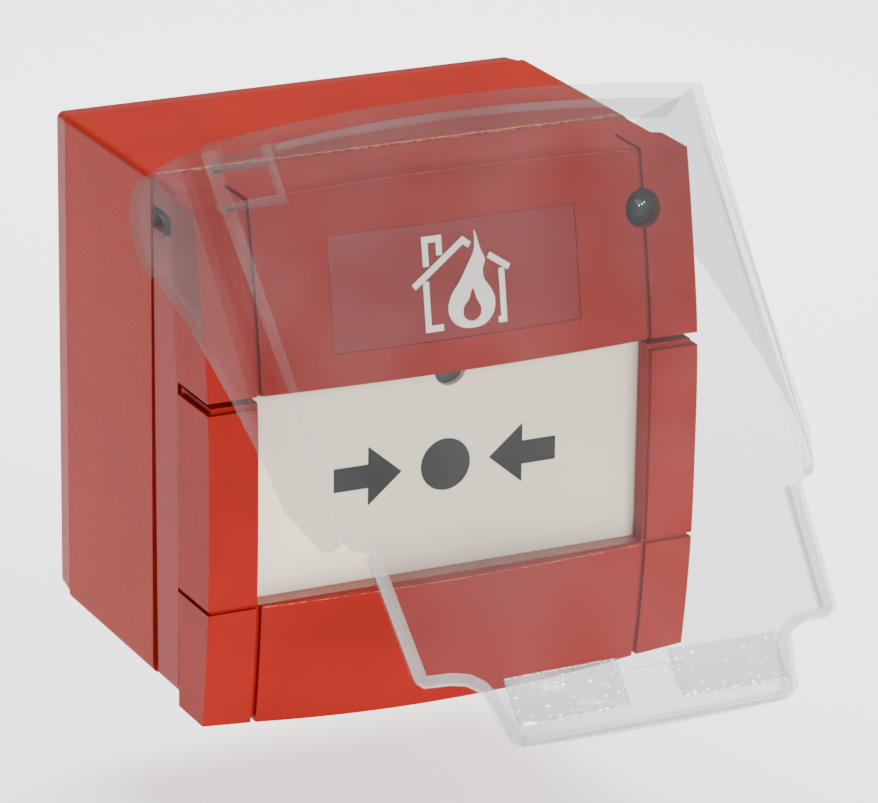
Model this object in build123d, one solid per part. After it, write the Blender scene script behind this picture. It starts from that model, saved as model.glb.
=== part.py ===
"""Manual call point: a surface-mounted fire alarm call point with a hinged clear cover.

X runs to the viewer's right, Y runs into the wall and Z is up. The origin is the centre of the
rear face. "Forward" distances (f) are measured from the wall towards the user, so Y = -f.
All sizes are in millimetres.
"""

import os
from math import atan2, cos, degrees, hypot, radians, sin

from build123d import *

os.makedirs("parts", exist_ok=True)

# ---- back box and mounting plate
BOX_HALF = 43.5
BOX_REAR_F = 5.3
BOX_FRONT_F = 42.0
BOX_WALL = 2.4
BOX_FLOOR = 2.6
BOX_CORNER_R = 1.2
PLATE_REAR_HALF = 42.7
PLATE_RIM_F = 4.9
PLATE_FLOOR = 2.0
PLATE_RIM_W = 3.0
WALL_SCREW_HALF = 30.0
WALL_SCREW_R = 2.25
ACCESS_R = 4.5
BOX_SCREWS = [(-12.0, -37.6), (12.0, -37.6), (-12.0, 37.6), (12.0, 37.6)]
KNOCKOUT_R = 9.0
KNOCKOUT_SKIN = 0.8
CHASSIS_SCREW_X = 30.15

# ---- chassis
CHASSIS_HALF = 43.3
CHASSIS_WALL = 2.0
CHASSIS_REAR_TOP_F = 42.3
CHASSIS_REAR_BOTTOM_F = 43.8
CHASSIS_FLOOR_F = 44.5
CHASSIS_FLOOR = 2.0
CHASSIS_STRIP_F = 52.2
SPIGOT_HALF = 42.0
SPIGOT_TOP = 40.8
SPIGOT_WALL = 1.4
SPIGOT_F = 57.0

# ---- fascia (hood above the window, front frame round it)
FASCIA_HALF = 44.5
FASCIA_TOP = 43.1
FASCIA_BOTTOM = -44.2
ARCH = 2.2
CROWN = 1.6
FASCIA_WALL = 2.0
GROOVE_X = 35.4
GROOVE_W = 0.9
GROOVE_D = 0.8
HOOD_BOTTOM = 12.4
FRAME_TOP = 11.2
FRAME_RABBET = 0.9
LOWER_GROOVE_Z = -23.6
SIDE_PROFILE = [(47.0, 60.5), (FASCIA_TOP, 61.5), (28.0, 64.6), (HOOD_BOTTOM, 67.0),
                (-6.0, 67.5), (LOWER_GROOVE_Z, 67.1), (FASCIA_BOTTOM, 64.8), (-48.0, 64.2)]
FASCIA_REAR = [(50.0, 52.2), (30.0, 52.9), (10.0, 54.8), (-50.0, 55.2)]
REVEAL_REAR_F = 63.4
REVEAL_WALL = 2.0
SCREW_BOSS_X = 37.6
HOOD_BOSS_Z = 20.0
FRAME_BOSS_Z = -34.0

# ---- label and indicator light
LABEL_HALF_W = 22.4
LABEL_Z = (17.8, 36.9)
LABEL_DEPTH = 0.35
LED_X = GROOVE_X
LED_Z = 34.1
LED_HOLE_R = 3.3
LENS_R = 2.8

# ---- operating element
ELEMENT_FRONT_F = 63.0
ELEMENT_T = 1.2
ELEMENT_HALF = 37.3
ELEMENT_Z = (-26.4, 10.9)
NOTCH_R = 2.9
CARRIER_T = 1.4
CARRIER_HALF = 36.9
FLAG_Z = (11.0, 16.4)
SYMBOL_Z = -5.7
SYMBOL_T = 0.08
DOT_R = 4.5
ARROW_TIP_X = 8.0
ARROW_HEAD_X = 14.1
ARROW_TAIL_X = 20.3
ARROW_HEAD_H = 5.15
ARROW_SHAFT_H = 2.05
PRESS_IN = 2.5
PRESS_DOWN = 4.0
GUIDE_PIN_R = 1.1
GUIDE_CLEARANCE = 0.3
GUIDE_PIN_F = 59.0
GUIDE_PINS_Z = (2.0, -10.0)

# ---- return springs
SPRING_X = 24.0
SPRING_F = 55.4
SPRING_R = 1.6
SPRING_WIRE_R = 0.3
SPRING_POST_R = 0.9
SPRING_TOP_Z = -5.0
SPRING_BOTTOM_Z = -23.5

# ---- microswitch
BOARD_REAR_F = 48.0
BOARD_T = 1.4
BOARD_SCREWS = [(-28.0, 28.0), (31.0, 28.0), (-9.0, -5.0), (9.0, -5.0)]
SWITCH_HALF = (6.4, 2.9)
SWITCH_H = 6.5
LEVER_X = -6.0
LEVER_TIP_X = 6.5
LEVER_T = 0.3
LEVER_ANGLE = 11.9
LEVER_PIN_R = 0.5
PLUNGER_X = -2.8
PLUNGER_R = 0.7
PLUNGER_TRAVEL = 0.6

# ---- reset lock on the underside
RESET_F = 59.2
RESET_R = 3.0
RESET_COLLAR_R = 3.5
CRANK_R = 2.0
CRANK_PIN_R = 0.6
CRANK_START = -45.0

# ---- hinged cover, drawn closed and raised about its pivot at the end
PIVOT_F = 48.6
PIVOT_Z = 36.8
PEG_R = 1.6
PEG_CLEARANCE = 0.06
HINGE_SLOT_HALF = 1.9
COVER_RAISED = 43.0
COVER_T = 1.6
COVER_FACE = 24.6
COVER_TOP = 2.0
COVER_ARCH = 2.4
COVER_CROWN = 2.0
COVER_HALF = 46.6
WING_R = 8.0
HINGE_BOSS_R = 2.0
WING_END = -66.5
WING_SETBACK = 0.25
WING_REAR = [(4.2, -20.5), (10.8, -36.0), (15.8, -50.0)]
CREASE_TOP = (18.7, 3.3)
CREASE_END = (17.9, -58.5)
WING_TIP = (19.6, -66.5)
WING_TIP_X = 43.2
FOLD_TOP_X = 44.7
FOLD_END_X = 41.2
NECK_TOP = (37.6, -69.2)
NECK_END = (36.4, -90.4)
STRIP_TOP = (26.6, -94.4)
STRIP_END = (25.0, -104.0)
LEDGE_DEPTH = 8.3


def block(x0, x1, f0, f1, z0, z1):
    """Box from its limits in any order, with forward distances in place of Y."""
    centre = Pos((x0 + x1) / 2, -(f0 + f1) / 2, (z0 + z1) / 2)
    return centre * Box(abs(x1 - x0), abs(f1 - f0), abs(z1 - z0))


def slab(sketch, f0, f1):
    """A front-view sketch (x, z) extruded between two forward distances."""
    return extrude(Plane.XZ.offset(f0) * sketch, f1 - f0)


def rod(x, z, f0, f1, r):
    """Cylinder along the forward direction."""
    return slab(Pos(x, z) * Circle(r), f0, f1)


def upright(x, f, z0, z1, r):
    """Cylinder along Z."""
    return Pos(x, -f, (z0 + z1) / 2) * Cylinder(r, z1 - z0)


def crosswise(f, z, x0, x1, r):
    """Cylinder along X."""
    return Pos((x0 + x1) / 2, -f, z) * Rot(0, 90, 0) * Cylinder(r, abs(x1 - x0))


def side_face(points):
    """Side-view polygon from (f, z) points, in the plane x = 0."""
    return make_face(Plane.YZ * Polyline([(-f, z) for f, z in points], close=True))


def side_prism(points, half_width):
    """Side-view polygon from (f, z) points, extruded both ways along X."""
    return extrude(side_face(points), half_width, both=True)


def four(x, z):
    """The four mirror positions of a point."""
    return [(sx * x, sz * z) for sx in (-1, 1) for sz in (-1, 1)]


def ring(half, wall, f0, f1, corner=0.0):
    """Square tube with its axis forward."""
    outer = RectangleRounded(2 * half, 2 * half, corner) if corner else Rectangle(2 * half, 2 * half)
    inner = Rectangle(2 * (half - wall), 2 * (half - wall))
    return slab(outer - inner, f0, f1)


def screw(x, z, head_f, tip_f, shank_r, head_r, head_t):
    """Pan-head screw that enters from its head towards tip_f, with a cross recess in the head."""
    way = 1 if tip_f < head_f else -1
    head = rod(x, z, min(head_f, head_f + way * head_t), max(head_f, head_f + way * head_t), head_r)
    shank = rod(x, z, min(head_f, tip_f), max(head_f, tip_f), shank_r)
    top = head_f + way * head_t
    low, high = sorted((top, top - way * head_t * 0.55))
    arm, width = head_r * 1.1, head_r * 0.28
    cross = slab(Pos(x, z) * (Rectangle(arm, width) + Rectangle(width, arm)), low, high)
    return head + shank - cross


# ------------------------------------------------------------------ rear: plate, box, seal
def make_mounting_plate():
    """Wall plate: tapered rim, screw pillars, two stiffening ribs and a closed cable knock-out."""
    outline = loft([Plane.XZ * RectangleRounded(2 * PLATE_REAR_HALF, 2 * PLATE_REAR_HALF, BOX_CORNER_R),
                    Plane.XZ.offset(PLATE_RIM_F)
                    * RectangleRounded(2 * BOX_HALF - 0.6, 2 * BOX_HALF - 0.6, BOX_CORNER_R)])
    lip_half = BOX_HALF - 1.5
    pocket_half = BOX_HALF - PLATE_RIM_W
    plate = outline + ring(lip_half, PLATE_RIM_W - 1.5, PLATE_RIM_F - 1.0, BOX_REAR_F)
    plate -= slab(Rectangle(2 * pocket_half, 2 * pocket_half), PLATE_FLOOR, BOX_REAR_F + 1)
    for x, z in four(WALL_SCREW_HALF, WALL_SCREW_HALF):
        plate += rod(x, z, PLATE_FLOOR - 0.5, PLATE_RIM_F - 0.6, WALL_SCREW_R + 2.4)
        plate -= rod(x, z, -1, PLATE_RIM_F + 1, WALL_SCREW_R)
    for x, z in BOX_SCREWS:
        plate += rod(x, z, PLATE_FLOOR - 0.5, BOX_REAR_F, 3.2)
        plate -= rod(x, z, 1.2, BOX_REAR_F + 1, 1.6)
    for z in (-15.0, 15.0):
        plate += block(-pocket_half, pocket_half, PLATE_FLOOR - 0.5, BOX_REAR_F, z - 0.8, z + 0.8)
    plate -= rod(0, 0, KNOCKOUT_SKIN, PLATE_FLOOR + 1, KNOCKOUT_R)
    return plate


def make_back_box():
    """Deep tray with chassis pillars, board pillars, wall screw access holes and a cable knock-out."""
    inner = 2 * (BOX_HALF - BOX_WALL)
    box = slab(RectangleRounded(2 * BOX_HALF, 2 * BOX_HALF, BOX_CORNER_R), BOX_REAR_F, BOX_FRONT_F)
    box -= slab(Rectangle(inner, inner), BOX_REAR_F + BOX_FLOOR, BOX_FRONT_F + 1)
    floor_f = BOX_REAR_F + BOX_FLOOR
    for side in (-1, 1):
        x = side * CHASSIS_SCREW_X
        box += rod(x, 0, floor_f - 0.5, BOX_FRONT_F - 0.4, 4.0)
        box += block(x, side * (BOX_HALF - 1), floor_f - 0.5, BOX_FRONT_F - 4, -0.8, 0.8)
        box -= rod(x, 0, 24, BOX_FRONT_F + 1, 1.85)
    for x, z in four(21.0, 34.0):
        box += rod(x, z, floor_f - 0.5, 12.0, 2.6)
        box -= rod(x, z, 8.6, 13.0, 1.3)
    for x, z in four(WALL_SCREW_HALF, WALL_SCREW_HALF):
        box -= rod(x, z, BOX_REAR_F - 1, floor_f + 1, ACCESS_R)
    for x, z in BOX_SCREWS:
        box -= rod(x, z, BOX_REAR_F - 1, floor_f + 1, 1.7)
    box -= rod(0, 0, BOX_REAR_F + KNOCKOUT_SKIN, floor_f + 1, KNOCKOUT_R)
    return box


def chassis_rear_space():
    """Everything behind the chassis's sloping rear edge."""
    slope = (CHASSIS_REAR_BOTTOM_F - CHASSIS_REAR_TOP_F) / (2 * CHASSIS_HALF)
    top = CHASSIS_REAR_TOP_F - slope * 5
    bottom = CHASSIS_REAR_BOTTOM_F + slope * 5
    return side_prism([(0, 60), (top, CHASSIS_HALF + 5), (bottom, -CHASSIS_HALF - 5), (0, -60)], 60)


def make_seal():
    """Foam ring squeezed between the box rim and the chassis floor."""
    seal = ring(BOX_HALF - 0.9, 1.3, BOX_FRONT_F, CHASSIS_FLOOR_F)
    return seal & chassis_rear_space()


# ------------------------------------------------------------------ chassis
def guide_path(f, z, r):
    """Slanted slot that a guide pin follows as the element is pressed."""
    start = (f, z)
    end = (f - PRESS_IN, z - PRESS_DOWN)
    slope = degrees(atan2(end[1] - start[1], end[0] - start[0]))
    length = hypot(PRESS_IN, PRESS_DOWN)
    slot = SlotCenterToCenter(length, 2 * r)
    middle = Pos((-start[0] - end[0]) / 2, (start[1] + end[1]) / 2)
    return Plane.YZ * middle * Rot(0, 0, -slope) * slot


def make_chassis():
    """Frame between box and fascia: guides for the element, screw holes and hinge pockets."""
    floor_front = CHASSIS_FLOOR_F + CHASSIS_FLOOR
    body = ring(CHASSIS_HALF, CHASSIS_WALL, BOX_FRONT_F, CHASSIS_STRIP_F, 1.0)
    spigot_h = SPIGOT_TOP + SPIGOT_HALF
    spigot = Rectangle(2 * SPIGOT_HALF, spigot_h) \
        - Rectangle(2 * (SPIGOT_HALF - SPIGOT_WALL), spigot_h - 2 * SPIGOT_WALL)
    body += slab(Pos(0, (SPIGOT_TOP - SPIGOT_HALF) / 2) * spigot, CHASSIS_STRIP_F - 1.5, SPIGOT_F)
    body += slab(Rectangle(2 * CHASSIS_HALF - 1, 2 * CHASSIS_HALF - 1), CHASSIS_FLOOR_F, floor_front)
    body -= chassis_rear_space()
    for side in (-1, 1):
        x = side * CHASSIS_SCREW_X
        body += rod(x, 0, BOX_FRONT_F + 0.2, CHASSIS_FLOOR_F + 0.5, 4.0)
        body -= rod(x, 0, BOX_FRONT_F - 1, floor_front + 1, 1.9)
        for z in (HOOD_BOSS_Z, FRAME_BOSS_Z):
            body -= rod(side * SCREW_BOSS_X, z, CHASSIS_FLOOR_F - 1, floor_front + 1, 1.4)
        body += block(side * 38.6, side * 39.8, CHASSIS_FLOOR_F + 1, 62.4, -18.5, 6.0)
        body += rod(side * SPRING_X, SPRING_TOP_Z, CHASSIS_FLOOR_F + 1, SPRING_F + 1.2, SPRING_POST_R)
        body += block(side * 11.5, side * 13.0, CHASSIS_FLOOR_F + 1, 62.0, -40.8, -36.8)
        for z in GUIDE_PINS_Z:
            body -= extrude(guide_path(GUIDE_PIN_F, z, GUIDE_PIN_R + GUIDE_CLEARANCE), 60, both=True)
        body -= crosswise(PIVOT_F, PIVOT_Z, side * 38, side * 46, PEG_R + PEG_CLEARANCE)
        body -= block(side * 41.0, side * 46.0, BOX_FRONT_F - 1, PIVOT_F - 0.6,
                      PIVOT_Z - HINGE_SLOT_HALF, PIVOT_Z + HINGE_SLOT_HALF)
    body += block(-12.0, 12.0, 55.9, 57.1, -39.0, -36.8)
    for x, z in BOARD_SCREWS:
        body += rod(x, z, floor_front - 0.5, BOARD_REAR_F, 2.2)
        body -= rod(x, z, CHASSIS_FLOOR_F + 0.6, BOARD_REAR_F + 1, 1.0)
    body -= block(1.0, 15.0, CHASSIS_FLOOR_F - 1, floor_front + 1, 30.0, 36.0)
    body -= block(-6.5, 6.5, 53.2, SPIGOT_F + 1, -50.0, -37.0)
    return body


# ------------------------------------------------------------------ fascia
def front_curve_face(inset, crown):
    """Side view of the fascia from its rear region to the front curve."""
    front = [(-(f - inset + crown), z) for z, f in SIDE_PROFILE]
    top, bottom = front[0], front[-1]
    curve = Spline(front)
    edges = [curve, Line(bottom, (-40.0, bottom[1])), Line((-40.0, bottom[1]), (-40.0, top[1])),
             Line((-40.0, top[1]), top)]
    return Plane.YZ * make_face(edges)


def barrel(inset):
    """Front view of the fascia: upright sides, arched top and bottom."""
    w = FASCIA_HALF - inset
    top = FASCIA_TOP - inset
    bottom = FASCIA_BOTTOM + inset
    edges = [ThreePointArc((-w, top), (0, top + ARCH), (w, top)), Line((w, top), (w, bottom)),
             ThreePointArc((w, bottom), (0, bottom - ARCH), (-w, bottom)), Line((-w, bottom), (-w, top))]
    return make_face(edges)


def flat_body(inset):
    """Fascia volume whose front is curved in side view only."""
    return extrude(front_curve_face(inset, 0.0), 60, both=True) & slab(barrel(inset), 45, 75)


def crowned_body(inset):
    """Fascia volume whose front also bulges between the grooves."""
    radius = (GROOVE_X ** 2 + CROWN ** 2) / (2 * CROWN)
    nose = max(f for _, f in SIDE_PROFILE) + CROWN
    axis = Axis((0, radius - nose, 0), (0, 0, 1))
    half_arc = 8.0
    face = front_curve_face(inset, CROWN).rotate(axis, -half_arc)
    return revolve(face, axis, 2 * half_arc) & slab(barrel(inset), 45, 75)


def fascia_solid():
    """Whole fascia with its two upright grooves, before it is split into hood and front frame."""
    edge = GROOVE_X - GROOVE_W / 2
    base = flat_body(GROOVE_D) & block(-edge - 2, edge + 2, 45, 75, -60, 60)
    side = FASCIA_HALF + 1
    cheeks = flat_body(0.0) & (block(-side, -edge - GROOVE_W, 45, 75, -60, 60)
                               + block(edge + GROOVE_W, side, 45, 75, -60, 60))
    centre = crowned_body(0.0) & block(-edge, edge, 45, 75, -60, 60)
    rear = side_prism([(30, 60)] + [(f, z) for z, f in FASCIA_REAR] + [(30, -60)], 60)
    return base + cheeks + centre - rear


def fascia_hollow():
    """Space inside the fascia that leaves its walls."""
    inner = GROOVE_X - 1.5
    return flat_body(FASCIA_WALL) + (crowned_body(FASCIA_WALL) & block(-inner, inner, 45, 75, -60, 60))


def make_hood(shape, hollow):
    """Upper fascia with the label recess and the indicator hole."""
    hood = shape & block(-60, 60, 40, 80, HOOD_BOTTOM, 60)
    lip = block(-36.5, 36.5, 64.6, 80, HOOD_BOTTOM - 1, HOOD_BOTTOM + 1.8)
    hood -= hollow & block(-60, 60, 40, 80, HOOD_BOTTOM - 1, 60) - lip
    for side in (-1, 1):
        x = side * SCREW_BOSS_X
        hood += rod(x, HOOD_BOSS_Z, CHASSIS_FLOOR_F + CHASSIS_FLOOR + 0.1, 64.0, 2.5)
        hood -= rod(x, HOOD_BOSS_Z, 45, 60.0, 1.3)
    hood -= rod(LED_X, LED_Z, 50, 80, LED_HOLE_R)
    label_space = block(-LABEL_HALF_W, LABEL_HALF_W, 50, 80, *LABEL_Z)
    hood -= label_space & (crowned_body(-1.0) - crowned_body(LABEL_DEPTH))
    return hood


def make_label():
    """Thin label that follows the crowned face of the hood."""
    margin = 0.1
    space = block(-LABEL_HALF_W + margin, LABEL_HALF_W - margin, 50, 80,
                  LABEL_Z[0] + margin, LABEL_Z[1] - margin)
    return space & (crowned_body(0.08) - crowned_body(LABEL_DEPTH))


def make_front_frame(shape, hollow):
    """Lower fascia: cheeks, bottom panel, window reveal and the reset bore."""
    frame = shape & block(-60, 60, 40, 80, -60, FRAME_TOP)
    rabbet = flat_body(0.0) - flat_body(FRAME_RABBET)
    frame -= rabbet & block(-60, 60, 40, 80, FRAME_TOP - FRAME_RABBET, 60)
    groove = flat_body(-0.5) - flat_body(0.6)
    cheek_zone = block(-60, -GROOVE_X, 40, 80, LOWER_GROOVE_Z - 0.4, LOWER_GROOVE_Z + 0.4) \
        + block(GROOVE_X, 60, 40, 80, LOWER_GROOVE_Z - 0.4, LOWER_GROOVE_Z + 0.4)
    frame -= groove & cheek_zone
    wall = REVEAL_WALL
    reveal = block(-GROOVE_X - wall, GROOVE_X + wall, REVEAL_REAR_F, 80, LOWER_GROOVE_Z - wall, FRAME_TOP)
    frame -= block(-42.4, 42.4, 40, REVEAL_REAR_F, FRAME_TOP - 2, FRAME_TOP + 1)
    frame -= hollow & block(-60, 60, 40, 80, -60, FRAME_TOP - 1.2) - reveal
    frame -= block(-GROOVE_X, GROOVE_X, 40, 80, LOWER_GROOVE_Z, 20)
    for side in (-1, 1):
        x = side * SCREW_BOSS_X
        frame += rod(x, FRAME_BOSS_Z, CHASSIS_FLOOR_F + CHASSIS_FLOOR + 0.1, 64.2, 2.5)
        frame -= rod(x, FRAME_BOSS_Z, 45, 60.0, 1.3)
    frame += upright(0, RESET_F, -46.0, -43.0, 5.0) & flat_body(0.0)
    frame -= upright(0, RESET_F, -50, -40, RESET_R + 0.05)
    frame -= upright(0, RESET_F, -43.0, -40, RESET_COLLAR_R + 0.3)
    return frame


# ------------------------------------------------------------------ indicator light
def make_lens():
    front = 61.9
    dome_r = 3.6
    dome = Pos(LED_X, -(front - (dome_r ** 2 - LENS_R ** 2) ** 0.5), LED_Z) * Sphere(dome_r)
    lens = rod(LED_X, LED_Z, 56.0, front, LENS_R) + (dome & rod(LED_X, LED_Z, front - 0.2, 70, LENS_R))
    return lens + rod(LED_X, LED_Z, 59.2, 60.4, 3.9)


def make_status_led():
    x, z = LED_X - 1.2, LED_Z
    base_f = BOARD_REAR_F + BOARD_T
    led = rod(x, z, base_f, base_f + 0.8, 1.75) + rod(x, z, base_f, base_f + 3.2, 1.45)
    return led + Pos(x, -(base_f + 3.2), z) * Sphere(1.45)


# ------------------------------------------------------------------ operating element
def make_element():
    """White plate that is pressed to raise the alarm."""
    plate = slab(Pos(0, sum(ELEMENT_Z) / 2) * Rectangle(2 * ELEMENT_HALF, ELEMENT_Z[1] - ELEMENT_Z[0]),
                 ELEMENT_FRONT_F - ELEMENT_T, ELEMENT_FRONT_F)
    return plate - rod(0.6, ELEMENT_Z[1], 50, 70, NOTCH_R)


def arrow(side):
    """Arrow whose tip points at the centre dot."""
    points = [(ARROW_TIP_X, 0), (ARROW_HEAD_X, ARROW_HEAD_H), (ARROW_HEAD_X, ARROW_SHAFT_H),
              (ARROW_TAIL_X, ARROW_SHAFT_H), (ARROW_TAIL_X, -ARROW_SHAFT_H),
              (ARROW_HEAD_X, -ARROW_SHAFT_H), (ARROW_HEAD_X, -ARROW_HEAD_H)]
    return make_face(Polyline([(side * x, SYMBOL_Z + z) for x, z in points], close=True))


def make_symbols():
    """Printed arrows and dot, as thin raised marks."""
    marks = [arrow(-1), arrow(1), Pos(0, SYMBOL_Z) * Circle(DOT_R)]
    return Compound(children=[slab(mark, ELEMENT_FRONT_F, ELEMENT_FRONT_F + SYMBOL_T) for mark in marks])


def make_carrier():
    """Plate behind the element with the guide pins, spring posts and the rib that works the switch."""
    front = ELEMENT_FRONT_F - ELEMENT_T
    rear = front - CARRIER_T
    plate = block(-CARRIER_HALF, CARRIER_HALF, rear, front, ELEMENT_Z[0] + 0.4, FLAG_Z[1])
    for x0, x1 in ((-32, -8), (10, 32)):
        for z0, z1 in ((-23, -12), (-7, 3)):
            plate -= block(x0, x1, rear - 1, rear + 0.8, z0, z1)
    plate += block(5.0, 6.2, 59.2, rear + 0.2, -1.5, 5.5)
    for side in (-1, 1):
        inner = side * (CARRIER_HALF - 1.2)
        plate += block(side * CARRIER_HALF, inner, 57.2, rear + 0.2, -12.5, 4.5)
        for z in GUIDE_PINS_Z:
            plate += crosswise(GUIDE_PIN_F, z, inner, side * 40.3, GUIDE_PIN_R)
        plate += rod(side * SPRING_X, SPRING_BOTTOM_Z, SPRING_F - 1.0, rear + 0.2, SPRING_POST_R)
    return plate


def make_flag():
    """Yellow strip above the element, hidden by the hood until the element drops."""
    front = ELEMENT_FRONT_F - ELEMENT_T
    return block(-34.5, 34.5, front, front + ELEMENT_T, *FLAG_Z)


def wire_loop(x, top, bottom):
    """Closed wire loop in a front-view plane, from one height down to another."""
    across = SPRING_POST_R + 0.35
    inner = Pos(0, (top + bottom) / 2) * SlotOverall(top - bottom, 2 * across, 90)
    outer = Pos(0, (top + bottom) / 2) * SlotOverall(top - bottom + 4 * SPRING_WIRE_R,
                                                     2 * across + 4 * SPRING_WIRE_R, 90)
    return slab(Pos(x, 0) * (outer - inner), SPRING_F - SPRING_WIRE_R, SPRING_F + SPRING_WIRE_R)


def make_return_springs():
    """Two extension springs that pull the carrier back up to its rest position."""
    top = SPRING_TOP_Z - SPRING_POST_R - 1.3
    bottom = SPRING_BOTTOM_Z + SPRING_POST_R + 1.3
    coils = []
    for side in (-1, 1):
        x = side * SPRING_X
        helix = Helix(pitch=0.95, height=top - bottom, radius=SPRING_R)
        coil = Pos(x, -SPRING_F, bottom) * sweep(Plane(helix @ 0, z_dir=helix % 0) * Circle(SPRING_WIRE_R),
                                                 path=helix)
        coil += crosswise(SPRING_F, bottom, x - 0.2, x + SPRING_R, SPRING_WIRE_R)
        coil += crosswise(SPRING_F, top, x - SPRING_R, x + SPRING_R, SPRING_WIRE_R)
        coil += wire_loop(x, SPRING_TOP_Z + 1.3, top + 0.3)
        coil += wire_loop(x, bottom - 0.3, SPRING_BOTTOM_Z - PRESS_DOWN - 1.5)
        coils.append(coil)
    return Compound(children=coils)


# ------------------------------------------------------------------ microswitch and its board
def make_switch_board():
    sketch = Pos(2.1, 32.5) * Rectangle(72.2, 17.0) + Pos(0, 9.0) * Rectangle(24.0, 32.0)
    board = slab(sketch, BOARD_REAR_F, BOARD_REAR_F + BOARD_T)
    for x, z in BOARD_SCREWS:
        board -= rod(x, z, BOARD_REAR_F - 1, BOARD_REAR_F + BOARD_T + 1, 1.2)
    for x in (-5.0, 0.0, 5.0):
        board -= rod(x, 0, BOARD_REAR_F - 1, BOARD_REAR_F + BOARD_T + 1, 0.6)
    return board


def make_switch_board_screws():
    top = BOARD_REAR_F + BOARD_T
    return Compound(children=[screw(x, z, top, 45.4, 0.9, 1.8, 1.1) for x, z in BOARD_SCREWS])


def switch_top():
    return BOARD_REAR_F + BOARD_T + SWITCH_H


def make_switch_body():
    half_x, half_z = SWITCH_HALF
    top = switch_top()
    body = block(-half_x, half_x, BOARD_REAR_F + BOARD_T, top, -half_z, half_z)
    for z0, z1 in ((-half_z, -2.1), (2.1, half_z)):
        body += block(LEVER_X - 1.0, LEVER_X + 1.0, top - 2.0, top + 1.1, z0, z1)
    body -= upright(LEVER_X, top + 0.45, -4, 4, LEVER_PIN_R + 0.06)
    body -= block(LEVER_X - 1.2, LEVER_X + 1.4, top - 0.5, top + 2, -2.1, 2.1)
    body -= rod(PLUNGER_X, 0, top - 2.5, top + 1, PLUNGER_R + 0.06)
    for x in (-3.2, 3.2):
        body -= upright(x, top - 4.6, -4, 4, 0.8)
    return body


def make_switch_terminals():
    pins = [block(x - 0.3, x + 0.3, BOARD_REAR_F - 0.9, BOARD_REAR_F + BOARD_T, -0.25, 0.25)
            for x in (-5.0, 0.0, 5.0)]
    return Compound(children=pins)


def make_plunger():
    top = switch_top()
    return rod(PLUNGER_X, 0, top - 1.8, top + 0.15 + PLUNGER_TRAVEL, PLUNGER_R)


def make_lever():
    top = switch_top()
    pivot_f = top + 0.45
    strip = block(LEVER_X, LEVER_TIP_X, pivot_f - 0.15, pivot_f + LEVER_T - 0.15, -1.8, 1.8)
    pin = upright(LEVER_X, pivot_f, -2.8, 2.8, LEVER_PIN_R)
    axis = Axis((LEVER_X, -pivot_f, 0), (0, 0, 1))
    return (strip + pin).rotate(axis, -LEVER_ANGLE)


# ------------------------------------------------------------------ reset lock
def make_reset_barrel():
    barrel_solid = upright(0, RESET_F, -46.0, -39.4, RESET_R)
    barrel_solid += upright(0, RESET_F, -42.9, -41.9, RESET_COLLAR_R)
    angle = radians(CRANK_START)
    pin_x = CRANK_R * sin(angle)
    pin_f = RESET_F + CRANK_R * cos(angle)
    barrel_solid += upright(pin_x, pin_f, -39.6, -37.2, CRANK_PIN_R)
    barrel_solid -= block(-0.7, 0.7, RESET_F - 2.2, RESET_F + 2.2, -47, -43.2)
    barrel_solid -= upright(0, RESET_F, -47, -43.6, 1.1)
    return barrel_solid


def make_reset_slide():
    rest_x = CRANK_R * sin(radians(CRANK_START))
    slide = block(rest_x - 9, rest_x + 9, 57.4, 62.3, -38.8, -37.8)
    slide += block(rest_x - 9, rest_x - 6, 58.6, 59.8, -38.0, -32.0)
    slide += block(rest_x + 6, rest_x + 9, 58.6, 59.8, -38.0, -32.0)
    gap = CRANK_PIN_R + 0.18
    slide -= block(rest_x - gap, rest_x + gap, RESET_F + 0.5, RESET_F + CRANK_R + gap, -40, -36)
    return slide


# ------------------------------------------------------------------ hinged cover
def cover_outline():
    """Front view of the closed cover: panel, narrower neck and the grip strip below it."""
    right = [(FOLD_TOP_X, COVER_TOP), (FOLD_END_X, WING_END), (FOLD_END_X - 0.6, WING_END - 1.6), NECK_TOP,
             NECK_END]
    notch_mid = (STRIP_TOP[0] + 3.2, NECK_END[1] - 1.9)
    corner = 2.6
    bottom_corner = (STRIP_END[0] - corner, STRIP_END[1] - 0.4)
    edges = []
    for side in (1, -1):
        pts = [(side * x, z) for x, z in right]
        edges.append(Polyline(pts))
        edges.append(ThreePointArc((side * NECK_END[0], NECK_END[1]),
                                   (side * (NECK_END[0] - 1.0), NECK_END[1] - 1.4),
                                   (side * (NECK_END[0] - 2.6), NECK_END[1] - 1.6)))
        edges.append(ThreePointArc((side * (NECK_END[0] - 2.6), NECK_END[1] - 1.6),
                                   (side * notch_mid[0], notch_mid[1] - 0.2),
                                   (side * STRIP_TOP[0], STRIP_TOP[1])))
        edges.append(Line((side * STRIP_TOP[0], STRIP_TOP[1]), (side * STRIP_END[0], STRIP_END[1] + corner)))
        edges.append(ThreePointArc((side * STRIP_END[0], STRIP_END[1] + corner),
                                   (side * (STRIP_END[0] - 0.7), STRIP_END[1] + 0.5),
                                   (side * bottom_corner[0], bottom_corner[1])))
    edges.append(ThreePointArc((bottom_corner[0], bottom_corner[1]), (0, bottom_corner[1] - 0.6),
                               (-bottom_corner[0], bottom_corner[1])))
    edges.append(ThreePointArc((-FOLD_TOP_X, COVER_TOP), (0, COVER_TOP + COVER_ARCH), (FOLD_TOP_X, COVER_TOP)))
    return make_face(edges)


def cover_sheet(inset, thickness):
    """Part of the cover's cylindrical front sheet, between two depths below its outer face."""
    radius = (FOLD_TOP_X ** 2 + COVER_CROWN ** 2) / (2 * COVER_CROWN)
    centre_y = radius - COVER_FACE - COVER_CROWN
    outer = Pos(0, centre_y, -50) * Cylinder(radius - inset, 120)
    return outer - Pos(0, centre_y, -50) * Cylinder(radius - inset - thickness, 121)


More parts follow.
